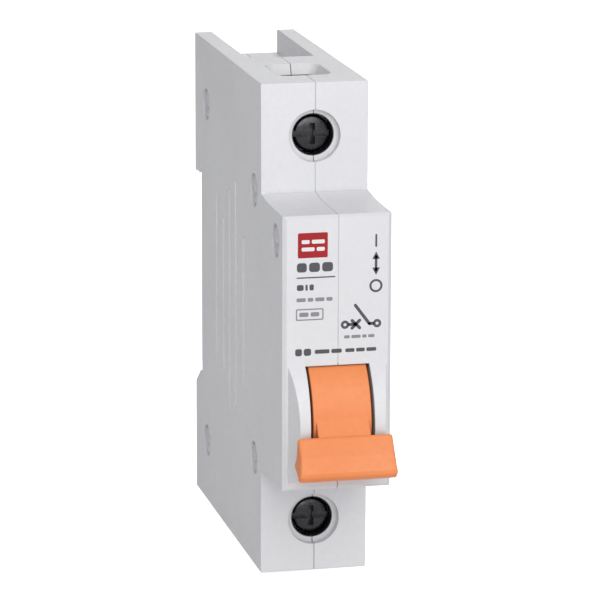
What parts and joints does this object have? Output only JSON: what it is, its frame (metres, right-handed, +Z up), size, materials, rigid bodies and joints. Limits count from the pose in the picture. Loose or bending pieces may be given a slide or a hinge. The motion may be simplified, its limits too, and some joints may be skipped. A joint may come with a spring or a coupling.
{
  "type": "miniature circuit breaker",
  "caption": "Narrow rail-mounted circuit breaker in a riveted two-part case, with a thumb toggle, switching mechanism, release coil, arc chute and screw terminals.",
  "frame": {"origin": "on the rail seat plane, mid-width, at the height of the middle of the nose", "axes": "+X across the width, -Y out of the front where the toggle is, +Z up when the breaker hangs on a level rail"},
  "size_m": [0.0178, 0.0798, 0.082],
  "materials": {
    "case_plastic": "light grey moulded thermoset, fine satin texture",
    "toggle_plastic": "orange, satin gloss",
    "mechanism_plastic": "black glass-filled nylon",
    "bobbin_plastic": "natural nylon",
    "chute_fibre": "red-brown vulcanised fibre board",
    "zinc_plated_steel": "zinc plated",
    "spring_steel": "drawn wire",
    "copper": "bare copper",
    "contact_silver": "silver alloy",
    "bimetal": "rolled bimetal strip"
  },
  "bodies": {
    "case": {"case_left": "case_plastic", "case_right": "case_plastic", "coil_bobbin": "bobbin_plastic", "chute_board_left": "chute_fibre", "chute_board_right": "chute_fibre", "rivet_rear_upper": "zinc_plated_steel", "rivet_rear_lower": "zinc_plated_steel", "rivet_front_upper": "zinc_plated_steel", "rivet_front_lower": "zinc_plated_steel", "rivet_nose": "zinc_plated_steel", "toggle_pin": "zinc_plated_steel", "carrier_pin": "zinc_plated_steel", "trip_lever_pin": "zinc_plated_steel", "bimetal_bracket": "zinc_plated_steel", "calibration_screw": "zinc_plated_steel", "coil_yoke": "zinc_plated_steel", "coil_core": "zinc_plated_steel", "arc_plate_1": "zinc_plated_steel", "arc_plate_2": "zinc_plated_steel", "arc_plate_3": "zinc_plated_steel", "arc_plate_4": "zinc_plated_steel", "arc_plate_5": "zinc_plated_steel", "arc_plate_6": "zinc_plated_steel", "arc_plate_7": "zinc_plated_steel", "arc_plate_8": "zinc_plated_steel", "arc_plate_9": "zinc_plated_steel", "toggle_spring": "spring_steel", "plunger_spring": "spring_steel", "din_clip_spring": "spring_steel", "fixed_contact_bar": "copper", "lower_arc_runner": "copper", "flexible_braid": "copper", "coil_winding": "copper", "upper_terminal_bar": "copper", "lower_terminal_bar": "copper", "fixed_contact_tip": "contact_silver"},
    "toggle": {"toggle": "toggle_plastic"},
    "toggle_link": {"toggle_link": "spring_steel"},
    "contact_carrier": {"contact_carrier": "mechanism_plastic", "moving_contact_arm": "copper", "moving_contact_tip": "contact_silver", "contact_spring": "spring_steel"},
    "trip_lever": {"trip_lever": "mechanism_plastic"},
    "plunger": {"plunger": "zinc_plated_steel", "striker_pin": "spring_steel"},
    "bimetal": {"bimetal_strip": "bimetal"},
    "upper_screw": {"upper_terminal_screw": "zinc_plated_steel"},
    "upper_cage": {"upper_terminal_cage": "zinc_plated_steel"},
    "lower_screw": {"lower_terminal_screw": "zinc_plated_steel"},
    "lower_cage": {"lower_terminal_cage": "zinc_plated_steel"},
    "din_clip": {"din_clip": "mechanism_plastic"}
  },
  "joints": [
    {"name": "toggle_hinge", "type": "hinge", "parent": "case", "child": "toggle", "pos_m": [0, -0.057, -0.0115], "axis": [-1, 0, 0], "range_deg": [0, 40]},
    {"name": "link_hinge", "type": "hinge", "parent": "toggle", "child": "toggle_link", "pos_m": [0, -0.05512, -0.00633], "axis": [1, 0, 0], "range_deg": [0, 51]},
    {"name": "carrier_hinge", "type": "hinge", "parent": "case", "child": "contact_carrier", "pos_m": [0, -0.04, -0.006], "axis": [1, 0, 0], "range_deg": [0, 30]},
    {"name": "trip_lever_hinge", "type": "hinge", "parent": "case", "child": "trip_lever", "pos_m": [0, -0.042, 0.003], "axis": [-1, 0, 0], "range_deg": [0, 10]},
    {"name": "plunger_slide", "type": "slide", "parent": "case", "child": "plunger", "axis": [0, 0, -1], "range_m": [0, 0.0016], "stiffness_N_per_m": 20, "springref_m": -0.003, "deforming": ["plunger_spring"]},
    {"name": "bimetal_bend", "type": "hinge", "parent": "case", "child": "bimetal", "pos_m": [0, -0.0265, -0.0345], "axis": [1, 0, 0], "range_deg": [0, 3.5], "stiffness_Nm_per_rad": 0.005},
    {"name": "upper_screw_turn", "type": "hinge", "parent": "case", "child": "upper_screw", "pos_m": [0, -0.047, 0.0322], "axis": [0, 1, 0], "range_deg": [0, 1890]},
    {"name": "upper_cage_slide", "type": "slide", "parent": "case", "child": "upper_cage", "axis": [0, -1, 0], "range_m": [0, 0.0042]},
    {"name": "lower_screw_turn", "type": "hinge", "parent": "case", "child": "lower_screw", "pos_m": [0, -0.047, -0.0322], "axis": [0, 1, 0], "range_deg": [0, 1890]},
    {"name": "lower_cage_slide", "type": "slide", "parent": "case", "child": "lower_cage", "axis": [0, -1, 0], "range_m": [0, 0.0042]},
    {"name": "din_clip_slide", "type": "slide", "parent": "case", "child": "din_clip", "axis": [0, 0, -1], "range_m": [0, 0.004], "stiffness_N_per_m": 300, "springref_m": -0.004, "deforming": ["din_clip_spring"]}
  ],
  "couplings": [
    {"joint": "link_hinge", "follows": "toggle_hinge", "ratio": 1.2598},
    {"joint": "carrier_hinge", "follows": "toggle_hinge", "ratio": 0.7258},
    {"joint": "trip_lever_hinge", "follows": "plunger_slide", "rad_per_m": 108.7},
    {"joint": "upper_screw_turn", "follows": "upper_cage_slide", "rad_per_m": 7854},
    {"joint": "lower_screw_turn", "follows": "lower_cage_slide", "rad_per_m": 7854}
  ]
}
